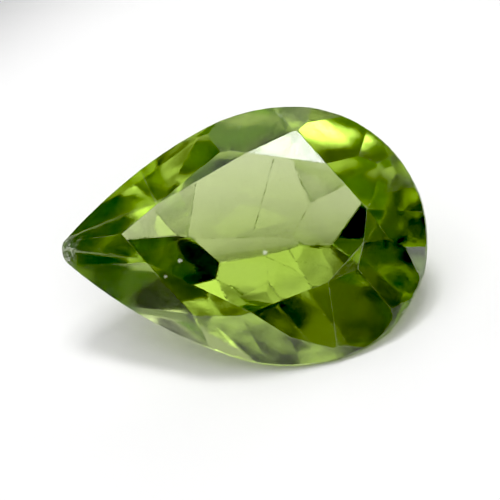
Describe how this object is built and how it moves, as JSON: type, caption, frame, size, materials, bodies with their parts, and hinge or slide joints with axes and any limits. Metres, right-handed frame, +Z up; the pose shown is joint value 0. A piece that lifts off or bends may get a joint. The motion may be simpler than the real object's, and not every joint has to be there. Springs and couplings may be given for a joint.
{
  "type": "pear cut peridot",
  "caption": "Loose transparent yellow-green gemstone with a pear outline, a faceted crown and a deep faceted pavilion, for setting in jewellery or display.",
  "frame": {"origin": "middle of the stone's box, at the level of the pavilion facet that it lies on", "axes": "+Z up from the surface that the stone lies on, +X along the stone from the point to the round end, with the table facing up and towards -Y"},
  "size_m": [0.007, 0.0042, 0.0031],
  "materials": {
    "peridot": "polished transparent crystal, yellow-green in depth, with a frosted girdle and worn facet edges"
  },
  "bodies": {
    "root": {"pear_cut_peridot": "peridot"}
  },
  "joints": []
}
